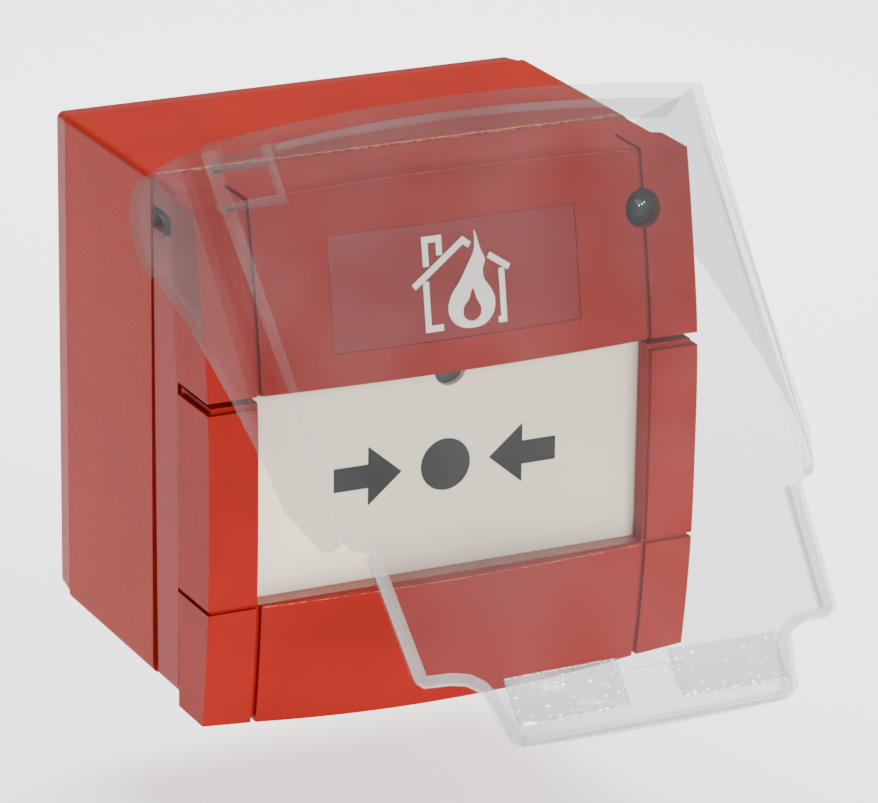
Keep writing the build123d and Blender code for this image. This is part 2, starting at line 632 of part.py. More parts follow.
def wing_outline():
    """Side view of a wing's flat part, from the hinge round to the crease."""
    start = (-4.0, -6.93)
    top = (1.6, 7.84)
    points = [start] + WING_REAR + [CREASE_END, CREASE_TOP]
    edges = [ThreePointArc((-top[0], top[1]), (WING_R, 0), (-start[0], start[1]))]
    edges.append(Polyline([(-a, b) for a, b in points]))
    edges.append(Line((-CREASE_TOP[0], CREASE_TOP[1]), (-top[0], top[1])))
    return make_face(edges)


def left_wing():
    """Side wing: flat behind a crease that runs from the top edge, folded inwards in front of it."""
    wing = extrude(Plane.YZ.offset(-COVER_HALF) * wing_outline(), COVER_T)
    crease_top = (-COVER_HALF, -CREASE_TOP[0], CREASE_TOP[1])
    crease_end = (-COVER_HALF, -CREASE_END[0], CREASE_END[1])
    fold_top = (-FOLD_TOP_X, -COVER_FACE, COVER_TOP - WING_SETBACK)
    fold_end = (-FOLD_END_X, -COVER_FACE, WING_END)
    tip = (-WING_TIP_X, -WING_TIP[0], WING_TIP[1])
    for corners in ([crease_top, crease_end, fold_end], [crease_top, fold_end, fold_top],
                    [crease_end, tip, fold_end]):
        facet = make_face(Polyline(corners, close=True)).face()
        wing += extrude(facet, COVER_T, dir=(1, 0, 0))
    return wing & block(-60, 0, -30, COVER_FACE - 0.4, -120, 60)


def cover_half():
    """Left half of the closed cover: sheet, top ledge, wing, stiffening rim, hinge peg and bottom lip."""
    face_f = COVER_FACE + COVER_CROWN + 1
    sheet = slab(cover_outline(), COVER_FACE - 6, face_f)
    half = sheet & cover_sheet(0, COVER_T)
    ledge_edges = [ThreePointArc((-41, 0.3), (0, 2.5), (41, 0.3)), Line((41, 0.3), (41, 1.8)),
                   ThreePointArc((41, 1.8), (0, 4.0), (-41, 1.8)), Line((-41, 1.8), (-41, 0.3))]
    ledge = slab(make_face(ledge_edges), COVER_FACE - LEDGE_DEPTH, face_f)
    half += ledge & cover_sheet(0.5, LEDGE_DEPTH + 2)
    half += left_wing()
    outer, inner = 0.15, 1.45
    rim = make_face(Polyline([(-NECK_TOP[0] + outer, NECK_TOP[1]), (-NECK_END[0] + outer, NECK_END[1]),
                              (-NECK_END[0] + inner, NECK_END[1]), (-NECK_TOP[0] + inner, NECK_TOP[1])],
                             close=True))
    half += slab(rim, COVER_FACE - 4, face_f) & cover_sheet(0.4, 3.4)
    half += crosswise(0, 0, -40.8, -COVER_HALF + 0.5, PEG_R)
    half += crosswise(0, 0, -COVER_HALF + COVER_T + 0.5, -COVER_HALF + 0.6, HINGE_BOSS_R)
    lip = block(-STRIP_END[0] + 2.4, STRIP_END[0] - 2.4, 15, 40, STRIP_END[1], STRIP_END[1] + 1.4)
    half += lip & cover_sheet(0.3, 2.9)
    return half & block(-60, 0, -60, 60, -120, 60)


def make_cover():
    """The cover, raised from its closed position about the hinge pegs."""
    face_f = COVER_FACE + COVER_CROWN + 1
    half = cover_half()
    cover = half + mirror(half, Plane.YZ)
    pad = slab(Pos(0, -98.2) * RectangleRounded(8.0, 4.6, 1.0), COVER_FACE - 2, face_f + 2)
    cover += pad & cover_sheet(-0.7, 1.5)
    rib_frame = Pos(-38.6, -4.6) * (Rectangle(12.2, 8.2) - Rectangle(9.4, 5.4))
    cover += slab(rib_frame, COVER_FACE - 4, face_f) & cover_sheet(0.5, 2.0)
    return Pos(0, -PIVOT_F, PIVOT_Z) * Rot(-COVER_RAISED, 0, 0) * cover


# ------------------------------------------------------------------ radio board and power
def make_radio_board():
    board = slab(Rectangle(48.0, 76.0), 12.0, 13.6)
    for x, z in four(21.0, 34.0):
        board -= rod(x, z, 11, 15, 1.4)
    return board


def make_battery_holder():
    base = block(-18.6, 18.6, 13.6, 15.1, -36.0, 3.6)
    for z0, z1 in ((-36.0, -34.7), (2.3, 3.6)):
        base += block(-18.6, 18.6, 14.0, 26.0, z0, z1)
    for side in (-1, 1):
        base += block(side * 17.9, side * 18.6, 14.0, 21.0, -36.0, 3.6)
    base += block(-0.45, 0.45, 14.0, 20.0, -36.0, 3.6)
    return base


def make_battery(side):
    x = side * 9.25
    f = 23.9
    cell = upright(x, f, -33.4, 0.0, 8.4)
    tip = upright(x, f, -0.1, 1.0, 3.0)
    return cell + tip if side > 0 else mirror_about_mid(cell + tip)


def mirror_about_mid(solid):
    """Turn a cell end for end in the holder."""
    middle = Plane(origin=(0, 0, -16.2), z_dir=(0, 0, 1))
    return mirror(solid, middle)


def make_contacts():
    plates = []
    for side in (-1, 1):
        for z0, z1 in ((-34.7, -34.5), (2.1, 2.3)):
            plates.append(block(side * 9.25 - 4.5, side * 9.25 + 4.5, 15.1, 28.0, z0, z1))
    return Compound(children=plates)


def make_antenna():
    path = FilletPolyline((-8, -13.6, 34.6), (-8, -28.0, 34.6), (20, -28.0, 34.6), (20, -28.0, 14.0),
                          radius=3.0)
    return sweep(Plane(origin=path @ 0, z_dir=path % 0) * Circle(0.5), path=path)


def make_capacitors():
    cans = []
    for z in (12.0, 20.0):
        can = rod(18.6, z, 13.6, 21.6, 3.0)
        cans.append(can - rod(18.6, z, 21.2, 22.0, 2.2))
    return Compound(children=cans)


def make_control_chip():
    chip = block(1.0, 10.0, 13.9, 15.5, 13.0, 22.0)
    for i in range(6):
        z = 14.2 + i * 1.32
        chip += block(-0.2, 11.2, 13.6, 14.3, z - 0.25, z + 0.25)
    return chip


def make_radio_module():
    can = block(-20.0, -4.0, 13.6, 16.8, 10.0, 28.0)
    return can - block(-19.0, -5.0, 13.0, 16.3, 11.0, 27.0) + block(-19.2, -4.8, 13.6, 14.4, 10.8, 27.2)


def make_header():
    return block(2.0, 14.0, 13.6, 19.0, 31.0, 35.0)


def make_ribbon():
    return block(3.0, 13.0, 19.0, BOARD_REAR_F, 32.6, 33.4)


def main():
    shape = fascia_solid()
    hollow = fascia_hollow()
    parts = {
        "mounting_plate": make_mounting_plate(),
        "back_box": make_back_box(),
        "box_screws": Compound(children=[screw(x, z, BOX_REAR_F + BOX_FLOOR, 1.8, 1.45, 2.8, 2.0)
                                         for x, z in BOX_SCREWS]),
        "seal": make_seal(),
        "radio_board": make_radio_board(),
        "radio_board_screws": Compound(children=[screw(x, z, 13.6, 9.0, 1.2, 2.2, 1.5)
                                                 for x, z in four(21.0, 34.0)]),
        "radio_module": make_radio_module(),
        "control_chip": make_control_chip(),
        "capacitors": make_capacitors(),
        "antenna_wire": make_antenna(),
        "board_header": make_header(),
        "link_ribbon": make_ribbon(),
        "battery_holder": make_battery_holder(),
        "battery_1": make_battery(-1),
        "battery_2": make_battery(1),
        "battery_contacts": make_contacts(),
        "chassis": make_chassis(),
        "chassis_screws": Compound(children=[screw(s * CHASSIS_SCREW_X, 0, 46.5, 27.0, 1.75, 3.2, 2.1)
                                             for s in (-1, 1)]),
        "front_screws": Compound(children=[screw(s * SCREW_BOSS_X, z, CHASSIS_FLOOR_F, 57.0, 1.2, 2.4, 1.6)
                                           for s in (-1, 1) for z in (HOOD_BOSS_Z, FRAME_BOSS_Z)]),
        "switch_board": make_switch_board(),
        "switch_board_screws": make_switch_board_screws(),
        "switch_body": make_switch_body(),
        "switch_terminals": make_switch_terminals(),
        "switch_plunger": make_plunger(),
        "switch_lever": make_lever(),
        "status_led": make_status_led(),
        "led_lens": make_lens(),
        "hood": make_hood(shape, hollow),
        "label_insert": make_label(),
        "front_frame": make_front_frame(shape, hollow),
        "operating_element": make_element(),
        "element_symbols": make_symbols(),
        "element_carrier": make_carrier(),
        "indicator_flag": make_flag(),
        "return_springs": make_return_springs(),
        "reset_barrel": make_reset_barrel(),
        "reset_slide": make_reset_slide(),
        "hinged_cover": make_cover(),
    }
    for name, solid in parts.items():
        export_step(solid, f"parts/{name}.step")


main()
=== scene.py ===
import math
import random

import bmesh
import bpy
from mathutils import Matrix, Vector
from mathutils.geometry import delaunay_2d_cdt


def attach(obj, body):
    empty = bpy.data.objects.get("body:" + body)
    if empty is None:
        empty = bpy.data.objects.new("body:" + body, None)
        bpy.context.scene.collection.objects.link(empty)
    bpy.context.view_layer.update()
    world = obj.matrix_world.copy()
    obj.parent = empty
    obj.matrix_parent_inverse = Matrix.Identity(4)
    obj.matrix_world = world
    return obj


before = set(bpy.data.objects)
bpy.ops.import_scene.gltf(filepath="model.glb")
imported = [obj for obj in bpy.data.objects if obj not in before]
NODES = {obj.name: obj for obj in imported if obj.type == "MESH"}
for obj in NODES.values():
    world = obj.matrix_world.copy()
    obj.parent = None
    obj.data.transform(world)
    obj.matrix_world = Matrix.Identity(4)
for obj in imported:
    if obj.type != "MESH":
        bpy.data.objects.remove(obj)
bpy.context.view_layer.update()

MM = 0.001

# driving sizes in millimetres
FASCIA_HALF = 44.5
FASCIA_ARCH = 2.2
HOOD_EDGE_Z = 42.75
SILL_Z = -23.95
STROKE_WIDTH = 1.05
PRINT_LIFT = 0.06
FLAME_LIFT = 0.065
HEART_LIFT = 0.09
PIVOT = (48.6, 36.8)
RAISED = math.radians(43.0)
COVER_FACE, COVER_CROWN, FOLD_X = 24.6, 2.0, 44.7
STIPPLE_X = (4.5, 23.6)
STIPPLE_B = (-101.8, -93.6)
PIP_STEP = 0.25
PIP_DENSITY = 3.2
PIP_SIZE = (1.1, 2.0)
PIP_TOP = (0.09, 0.26)
PAD_LIFT = 0.06
PAD_DEPTH = 0.1

# studio places in metres
FLOOR_Z = -0.075
LOOK_AT = (0, -0.03, 0)


# ------------------------------------------------------------------ material helpers
class Mat:
    """A node material with short helpers for building procedural detail."""

    def __init__(self, name):
        self.material = bpy.data.materials.new(name)
        self.material.use_nodes = True
        self.nodes = self.material.node_tree.nodes
        self.links = self.material.node_tree.links
        self.bsdf = self.nodes["Principled BSDF"]
        self.coords = self.nodes.new("ShaderNodeTexCoord")

    def set(self, **values):
        for key, value in values.items():
            self.bsdf.inputs[key.replace("_", " ")].default_value = value
        return self

    def node(self, kind, **values):
        made = self.nodes.new(kind)
        for key, value in values.items():
            setattr(made, key, value)
        return made

    def link(self, a, b):
        self.links.new(a, b)

    def noise(self, scale, detail=4.0, rough=0.55, stretch=(1, 1, 1)):
        mapping = self.node("ShaderNodeMapping")
        mapping.inputs["Scale"].default_value = stretch
        self.link(self.coords.outputs["Object"], mapping.inputs["Vector"])
        tex = self.node("ShaderNodeTexNoise")
        tex.inputs["Scale"].default_value = scale
        tex.inputs["Detail"].default_value = detail
        tex.inputs["Roughness"].default_value = rough
        self.link(mapping.outputs["Vector"], tex.inputs["Vector"])
        return tex.outputs["Fac"]

    def remap(self, source, low, high, to_low, to_high):
        ramp = self.node("ShaderNodeMapRange")
        ramp.inputs["From Min"].default_value = low
        ramp.inputs["From Max"].default_value = high
        ramp.inputs["To Min"].default_value = to_low
        ramp.inputs["To Max"].default_value = to_high
        self.link(source, ramp.inputs["Value"])
        return ramp.outputs["Result"]

    def mix_colour(self, factor, a, b):
        mix = self.node("ShaderNodeMix", data_type="RGBA")
        self.link(factor, mix.inputs[0])
        mix.inputs[6].default_value = (*a, 1)
        mix.inputs[7].default_value = (*b, 1)
        return mix.outputs[2]

    def bump(self, source, strength, distance, after=None):
        bump = self.node("ShaderNodeBump")
        bump.inputs["Strength"].default_value = strength
        bump.inputs["Distance"].default_value = distance
        self.link(source, bump.inputs["Height"])
        if after is not None:
            self.link(after, bump.inputs["Normal"])
        return bump.outputs["Normal"]


def moulded(name, colour, rough, grain=0.12, grain_scale=2600.0, shade=0.1, specular=0.5):
    """Moulded plastic: slight mottling, fine spark-eroded grain and roughness that varies a little."""
    m = Mat(name)
    dark = tuple(c * (1 - shade) for c in colour)
    light = tuple(min(1.0, c * (1 + shade)) for c in colour)
    broad = m.noise(45.0, 5.0)
    m.link(m.mix_colour(m.remap(broad, 0.3, 0.7, 0.0, 1.0), dark, light), m.bsdf.inputs["Base Color"])
    fine = m.noise(grain_scale, 3.0, 0.6)
    m.link(m.remap(fine, 0.3, 0.7, rough - 0.05, rough + 0.07), m.bsdf.inputs["Roughness"])
    coarse = m.bump(m.noise(240.0, 2.0), 0.05, 0.0004)
    m.link(m.bump(fine, grain, 0.00012, coarse), m.bsdf.inputs["Normal"])
    return m.set(Specular_IOR_Level=specular, IOR=1.5)


def metal(name, colour, rough, brushed=False):
    """Bare metal with a fine, optionally brushed, grain."""
    m = Mat(name)
    stretch = (1, 30, 1) if brushed else (1, 1, 1)
    fine = m.noise(900.0, 4.0, 0.6, stretch)
    dark = tuple(c * 0.8 for c in colour)
    m.link(m.mix_colour(fine, dark, colour), m.bsdf.inputs["Base Color"])
    m.link(m.remap(fine, 0.3, 0.7, rough - 0.06, rough + 0.1), m.bsdf.inputs["Roughness"])
    m.link(m.bump(fine, 0.08, 0.0001), m.bsdf.inputs["Normal"])
    return m.set(Metallic=1.0)


RED = (0.25, 0.0072, 0.0036)
materials = {
    "red_front": moulded("red_front", RED, 0.5, grain=0.3, grain_scale=1500.0, specular=0.08),
    "red_chassis": moulded("red_chassis", RED, 0.45, grain=0.2, grain_scale=1800.0, specular=0.1),
    "red_box": moulded("red_box", (0.275, 0.0105, 0.0042), 0.48, grain=0.15, grain_scale=2200.0,
                       specular=0.07),
    "red_rear": moulded("red_rear", (0.26, 0.008, 0.0040), 0.5, grain=0.15, specular=0.2),
    "red_label": moulded("red_label", (0.20, 0.0034, 0.0022), 0.36, grain=0.04, specular=0.2),
    "white": moulded("white", (0.90, 0.80, 0.62), 0.36, grain=0.04, shade=0.03, specular=0.3),
    "ink": moulded("ink", (0.020, 0.019, 0.019), 0.5, grain=0.1, specular=0.1),
    "pictogram_ink": moulded("pictogram_ink", (0.86, 0.82, 0.74), 0.4, grain=0.05, shade=0.03),
    "black": moulded("black", (0.020, 0.020, 0.022), 0.42),
    "dark": moulded("dark", (0.028, 0.028, 0.030), 0.5),
    "yellow": moulded("yellow", (0.78, 0.56, 0.03), 0.4),
    "foam": moulded("foam", (0.02, 0.02, 0.02), 0.8, grain=0.4, grain_scale=900.0),
    "ribbon": moulded("ribbon", (0.30, 0.30, 0.31), 0.45),
    "zinc": metal("zinc", (0.58, 0.58, 0.55), 0.28),
    "spring": metal("spring", (0.5, 0.5, 0.5), 0.22),
    "shield": metal("shield", (0.62, 0.62, 0.6), 0.3, brushed=True),
    "brass": metal("brass", (0.66, 0.56, 0.32), 0.25),
    "aluminium": metal("aluminium", (0.66, 0.66, 0.67), 0.3, brushed=True),
    "board": moulded("board", (0.006, 0.04, 0.016), 0.4, grain=0.05, specular=0.15),
    "cell": moulded("cell", (0.03, 0.09, 0.28), 0.25, grain=0.03),
    "led": moulded("led", (0.5, 0.03, 0.02), 0.2, grain=0.02),
    "lens": moulded("lens", (0.006, 0.006, 0.007), 0.05, grain=0.0, specular=0.12),
}


def clear_material(name, tint, haze_share, rough, facing_gloss=0.12, gloss_share=0.012):
    """Clear moulded polycarbonate: tinted transmission, faint haze and stronger gloss at glancing angles."""
    m = Mat(name)
    nodes, link = m.nodes, m.link
    nodes.remove(m.bsdf)
    clear = m.node("ShaderNodeBsdfTransparent")
    clear.inputs["Color"].default_value = (*tint, 1)
    haze = m.node("ShaderNodeBsdfDiffuse")
    haze.inputs["Color"].default_value = (0.86, 0.87, 0.88, 1)
    gloss = m.node("ShaderNodeBsdfGlossy")
    gloss.inputs["Color"].default_value = (1, 1, 1, 1)
    gloss.inputs["Roughness"].default_value = rough
    body = m.node("ShaderNodeMixShader")
    link(m.remap(m.noise(70.0, 5.0), 0.35, 0.65, haze_share * 0.7, haze_share * 1.3), body.inputs["Fac"])
    link(clear.outputs[0], body.inputs[1])
    link(haze.outputs[0], body.inputs[2])
    weight = m.node("ShaderNodeLayerWeight")
    weight.inputs["Blend"].default_value = 0.5
    power = m.node("ShaderNodeMath", operation="POWER")
    link(weight.outputs["Facing"], power.inputs[0])
    power.inputs[1].default_value = 7.0
    top = m.node("ShaderNodeMixShader")
    link(m.remap(power.outputs[0], 0.0, 1.0, gloss_share, facing_gloss), top.inputs["Fac"])
    link(body.outputs[0], top.inputs[1])
    link(gloss.outputs[0], top.inputs[2])
    link(top.outputs[0], nodes["Material Output"].inputs["Surface"])
    return m


materials["clear"] = clear_material("clear_cover", (0.82, 0.823, 0.826), 0.015, 0.20)
materials["clear_edge"] = clear_material("clear_edge", (0.95, 0.953, 0.956), 0.24, 0.10, 0.4, 0.03)
materials["clear_fold"] = clear_material("clear_fold", (0.985, 0.986, 0.987), 0.022, 0.20)
materials["clear_rib"] = clear_material("clear_rib", (0.985, 0.986, 0.987), 0.03, 0.20)
materials["clear_stipple"] = clear_material("clear_stipple", (0.88, 0.882, 0.884), 0.22, 0.16, 0.6, 0.13)


def painted_glint_edge(name, dull, painted_glint_colour):
    """Sharp moulded edge with painted highlights: coarse bright glints painted into the red plastic's base
    colour by noise, over a base that is already lighter and more orange than the plain red.
    """
    m = moulded(name, dull, 0.3, specular=0.6)
    glints = m.remap(m.noise(1100.0, 2.0), 0.42, 0.62, 0.0, 1.0)
    m.link(m.mix_colour(glints, dull, painted_glint_colour), m.bsdf.inputs["Base Color"])
    return m


# Painted highlights: both edge materials carry bright orange glints painted into their colour, standing in
# for light catching the sharp edges.
materials["red_edge_painted_glints"] = painted_glint_edge("red_edge_painted_glints", (0.30, 0.025, 0.010), (0.80, 0.36, 0.17))
materials["red_edge_painted_glints_soft"] = painted_glint_edge("red_edge_painted_glints_soft", (0.25, 0.010, 0.005), (0.50, 0.13, 0.06))
materials["red_sill"] = moulded("red_sill", RED, 0.14, grain=0.08, specular=0.6)

LOOKS = {
    "mounting_plate": "red_rear", "back_box": "red_box", "box_screws": "zinc", "seal": "foam",
    "radio_board": "board", "radio_board_screws": "zinc", "radio_module": "shield",
    "control_chip": "black", "capacitors": "aluminium", "antenna_wire": "black",
    "board_header": "black", "link_ribbon": "ribbon", "battery_holder": "black",
    "battery_1": "cell", "battery_2": "cell", "battery_contacts": "spring",
    "chassis": "red_chassis", "chassis_screws": "zinc", "front_screws": "zinc",
    "switch_board": "board", "switch_board_screws": "zinc", "switch_body": "black",
    "switch_terminals": "brass", "switch_plunger": "dark", "switch_lever": "spring",
    "status_led": "led", "led_lens": "lens", "hood": "red_front", "label_insert": "red_label",
    "front_frame": "red_front", "operating_element": "white", "element_symbols": "ink",
    "element_carrier": "dark", "indicator_flag": "yellow", "return_springs": "spring",
    "reset_barrel": "black", "reset_slide": "black", "hinged_cover": "clear",
}
BEVELS = {
    "mounting_plate": 0.3, "back_box": 0.35, "chassis": 0.25, "hood": 0.45, "front_frame": 0.45,
    "operating_element": 0.15, "indicator_flag": 0.1, "reset_barrel": 0.15,
}


def dress(name, obj):
    """Gives a CAD node its material and, where it has one, its softened edges."""
    obj.data.materials.clear()
    obj.data.materials.append(materials[LOOKS[name]].material)
    if name in BEVELS:
        bevel = obj.modifiers.new("edge_round", "BEVEL")
        bevel.width = BEVELS[name] * MM
        bevel.segments = 3
        bevel.limit_method = "ANGLE"
        bevel.angle_limit = math.radians(35)
        bevel.harden_normals = True
        bevel.use_clamp_overlap = True


for node_name, node_obj in NODES.items():
    dress(node_name, node_obj)


# ------------------------------------------------------------------ mesh helpers
def add_mesh(name, verts, faces, look, body, smooth=False):
    """A piece from points in millimetres, given its look and body; it gets one material slot holding the
    look's material.
    """
    mesh = bpy.data.meshes.new(name)
    mesh.from_pydata([tuple(c * MM for c in v) for v in verts], [], faces)
    mesh.validate()
    edit = bmesh.new()
    edit.from_mesh(mesh)
    bmesh.ops.remove_doubles(edit, verts=edit.verts, dist=1e-6)
    bmesh.ops.recalc_face_normals(edit, faces=edit.faces)
    edit.to_mesh(mesh)
    edit.free()
    obj = bpy.data.objects.new(name, mesh)
    bpy.context.scene.collection.objects.link(obj)
    mesh.materials.append(materials[look].material)
    if smooth:
        mesh.shade_smooth()
    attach(obj, body)
    return obj


def drape(x, z, node, lift):
    """The point on a CAD node's front at (x, z) in millimetres, lifted towards the viewer."""
    hit, place, _, _ = NODES[node].ray_cast(Vector((x * MM, -0.2, z * MM)), Vector((0, 1, 0)))
    return (x, place.y / MM - lift if hit else -65.0, z)


def solid_sheet(top, faces, thickness):
    """Closes a draped sheet with a copy of itself a little deeper and a rim round its border."""
    count = len(top)
    bottom = [(x, y + thickness, z) for x, y, z in top]
    border = {}
    for face in faces:
        for i, a in enumerate(face):
            b = face[(i + 1) % len(face)]
            key = (min(a, b), max(a, b))
            border[key] = None if key in border else (a, b)
    rim = [(b, a, a + count, b + count) for edge in border.values() if edge for a, b in [edge]]
    return top + bottom, faces + [tuple(i + count for i in reversed(f)) for f in faces] + rim


def box_strip(name, x0, x1, profile, look, body, parts=40):
    """Bar along X with a side-view profile of (f, z) points."""
    n = len(profile)
    verts = [(x0 + (x1 - x0) * i / parts, -f, z) for i in range(parts + 1) for f, z in profile]
    faces = [(i * n + k, i * n + (k + 1) % n, (i + 1) * n + (k + 1) % n, (i + 1) * n + k)
             for i in range(parts) for k in range(n)]
    faces += [tuple(range(n)), tuple(parts * n + k for k in reversed(range(n)))]
    return add_mesh(name, verts, faces, look, body)


def draped_bead(name, node, half, height, size, look, parts=72):
    """Fine bead across a CAD front, at a height that depends on x."""
    verts, faces = [], []
    for i in range(parts + 1):
        x = -half + 2 * half * i / parts
        z = height(x)
        _, y, _ = drape(x, z, node, 0.0)
        for dy, dz in ((-0.05, 0.0), (0.1, size), (0.3, 0.0), (0.1, -size)):
            verts.append((x, y + dy, z + dz))
        if i:
            k = 4 * i
            faces += [(k - 4 + p, k - 4 + (p + 1) % 4, k + (p + 1) % 4, k + p) for p in range(4)]
    faces += [(0, 1, 2, 3), tuple(4 * parts + k for k in (3, 2, 1, 0))]
    return add_mesh(name, verts, faces, look, "base")


# ------------------------------------------------------------------ moulded edges with painted edge highlights, and the window sill
# Thin beads along the sill, hood and box front edges that carry the painted glint materials: a painted
# highlight along each edge.
draped_bead("sill_glint_bead", "front_frame", 34.8, lambda x: SILL_Z, 0.16, "red_edge_painted_glints")
draped_bead("hood_glint_bead", "hood", 33.8,
            lambda x: HOOD_EDGE_Z + FASCIA_ARCH * (1 - (x / FASCIA_HALF) ** 2), 0.12,
            "red_edge_painted_glints_soft")
box_strip("box_front_glint_bead", -42.4, 42.4, [(41.55, 43.56), (41.9, 43.52), (42.06, 43.3), (41.6, 43.2)],
          "red_edge_painted_glints", "base")
box_strip("window_sill", -35.3, 35.3, [(63.5, -23.58), (66.6, -23.58), (66.75, -23.66), (63.5, -23.66)],
          "red_sill", "base")

# ------------------------------------------------------------------ pictogram on the label
def stroke(points, width, step=1.0):
    """Quads along a bent line of even width, mitred at its corners."""
    dense = [points[0]]
    for (x0, z0), (x1, z1) in zip(points, points[1:]):
        parts = max(1, int(math.hypot(x1 - x0, z1 - z0) / step))
        dense += [(x0 + (x1 - x0) * i / parts, z0 + (z1 - z0) * i / parts) for i in range(1, parts + 1)]
    verts, faces = [], []
    for i, (x, z) in enumerate(dense):
        before = Vector(dense[i]) - Vector(dense[i - 1]) if i else None
        after = Vector(dense[i + 1]) - Vector(dense[i]) if i + 1 < len(dense) else None
        dirs = [d.normalized() for d in (before, after) if d is not None]
        normals = [Vector((-d.y, d.x)) for d in dirs]
        mean = sum(normals, Vector((0, 0))).normalized()
        reach = width / 2 / max(0.4, mean.dot(normals[0]))
        verts += [(x + mean.x * reach, z + mean.y * reach), (x - mean.x * reach, z - mean.y * reach)]
        if i:
            k = 2 * i
            faces.append((k - 2, k - 1, k + 1, k))
    return verts, faces


def smooth_loop(points, parts=6):
    """Closed Catmull-Rom curve through points."""
    loop = []
    n = len(points)
    for i in range(n):
        p0, p1, p2, p3 = (Vector(points[(i + k - 1) % n]) for k in range(4))
        for j in range(parts):
            t = j / parts
            loop.append(tuple(0.5 * ((2 * p1) + (p2 - p0) * t + (2 * p0 - 5 * p1 + 4 * p2 - p3) * t * t
                                     + (3 * p1 - p0 - 3 * p2 + p3) * t ** 3)))
    return loop


def filled(loop):
    """Triangles filling a closed outline."""
    points, _, faces, _, _, _ = delaunay_2d_cdt([Vector(p) for p in loop],
                                                [(i, (i + 1) % len(loop)) for i in range(len(loop))],
                                                [list(range(len(loop)))], 1, 1e-5)
    return [tuple(p) for p in points], [tuple(f) for f in faces]


def printed(name, shape, look, lift):
    """Thin raised print on the label, from a flat shape of points and faces."""
    flat, faces = shape
    top = [drape(x, z, "label_insert", lift) for x, z in flat]
    verts, faces = solid_sheet(top, faces, lift + 0.05)
    return add_mesh(name, verts, faces, look, "base")


HOUSE = {
    "roof_left": [(-7.8, 26.9), (1.4, 33.5), (2.6, 32.6)],
    "roof_right": [(5.9, 30.6), (9.5, 28.2)],
    "wall_left": [(-5.6, 27.6), (-5.6, 19.9), (-2.9, 19.9)],
    "wall_right": [(8.1, 28.2), (8.1, 19.9), (7.1, 19.9)],
    "chimney": [(-5.4, 30.0), (-5.4, 34.3), (-2.9, 34.3), (-2.9, 31.6)],
}
for part, line in HOUSE.items():
    printed(f"pictogram_{part}", stroke(line, STROKE_WIDTH), "pictogram_ink", PRINT_LIFT)
FLAME = [(2.4, 19.2), (4.6, 19.6), (6.2, 21.2), (6.6, 23.4), (5.9, 25.3), (4.9, 26.8), (4.7, 28.4),
         (5.2, 30.0), (4.5, 31.8), (3.6, 34.9), (3.4, 31.9), (2.0, 29.4), (0.4, 26.9), (-1.2, 24.9),
         (-1.9, 22.6), (-1.2, 20.6), (0.4, 19.5)]
FLAME_HEART = [(2.3, 20.3), (3.7, 21.0), (4.0, 22.4), (3.3, 23.8), (2.7, 25.6), (1.9, 23.9), (0.9, 22.7),
               (0.9, 21.1)]
printed("pictogram_flame", filled(smooth_loop(FLAME)), "pictogram_ink", FLAME_LIFT)
printed("pictogram_flame_heart", filled(smooth_loop(FLAME_HEART)), "red_label", HEART_LIFT)

# ---------------------------------------------------------- cover details, in the closed cover's frame

def cover_point(x, b, depth):
    """Point on the cover's front sheet: x across, b above the pivot, depth below the outer face."""
    a = COVER_FACE + COVER_CROWN * (1 - (x / FOLD_X) ** 2) - depth
    f = PIVOT[0] + a * math.cos(RAISED) - b * math.sin(RAISED)
    z = PIVOT[1] + a * math.sin(RAISED) + b * math.cos(RAISED)
    return (x, -f, z)


def cover_band(name, path, near, far, depth0, depth1, look, far_end=None):
    """Band left of a path on the front sheet, between two offsets (the far one may taper) and two depths."""
    far_end = far if far_end is None else far_end
    verts, faces = [], []
    n = len(path)
    for i, point in enumerate(path):
        before = Vector(path[max(i - 1, 0)])
        after = Vector(path[min(i + 1, n - 1)])
        way = (after - before).normalized()
        normal = Vector((-way.y, way.x))
        for offset in (far + (far_end - far) * i / (n - 1), near):
            for depth in (depth0, depth1):
                x, b = Vector(point) + normal * offset
                verts.append(cover_point(x, b, depth))
        if i:
            k = 4 * i
            for p, q in ((0, 1), (1, 3), (3, 2), (2, 0)):
                faces.append((k - 4 + p, k - 4 + q, k + q, k + p))
    faces.append((0, 1, 3, 2))
    last = 4 * (n - 1)
    faces.append((last, last + 2, last + 3, last + 1))
    return add_mesh(name, verts, faces, look, "cover")


def dense_line(points, step=2.0):
    """The same bent line with points no more than about a step apart."""
    out = [points[0]]
    for (x0, b0), (x1, b1) in zip(points, points[1:]):
        parts = max(1, int(math.hypot(x1 - x0, b1 - b0) / step))
        out += [(x0 + (x1 - x0) * i / parts, b0 + (b1 - b0) * i / parts) for i in range(1, parts + 1)]
    return out


bite = [(-36.3, -90.9), (-35.4, -91.9), (-33.8, -92.1), (-31.0, -92.3), (-28.6, -92.9), (-27.0, -94.2)]
foot = [(-26.5, -95.2), (-25.1, -101.2), (-24.4, -103.4), (-22.6, -104.3)]
left_edge = dense_line([(-37.7, -69.4), (-36.5, -90.0)]) + bite + dense_line(foot)
floor_edge = [(-22.4 + 44.8 * i / 16, -104.35 - 0.5 * (1 - (-1 + i / 8) ** 2)) for i in range(17)]
right_edge = [(-x, b) for x, b in reversed(left_edge)]
outline = left_edge + floor_edge + right_edge
cover_band("cover_edge_flange", outline, 0.1, 1.7, 1.5, 2.7, "clear_edge")
cover_band("cover_fold_left", dense_line([(-44.4, 1.4), (-40.9, -66.0)], 4.0), 0.2, 2.4, 1.5, 2.5,
           "clear_fold", 0.7)
cover_band("cover_fold_right", dense_line([(40.9, -66.0), (44.4, 1.4)], 4.0), 0.2, 0.7, 1.5, 2.5,
           "clear_fold", 2.4)
cover_band("cover_slot_rib_low", dense_line([(-32.5, -8.7), (-44.0, -8.7)]), 0.0, -1.4, 2.45, 2.9,
           "clear_rib")
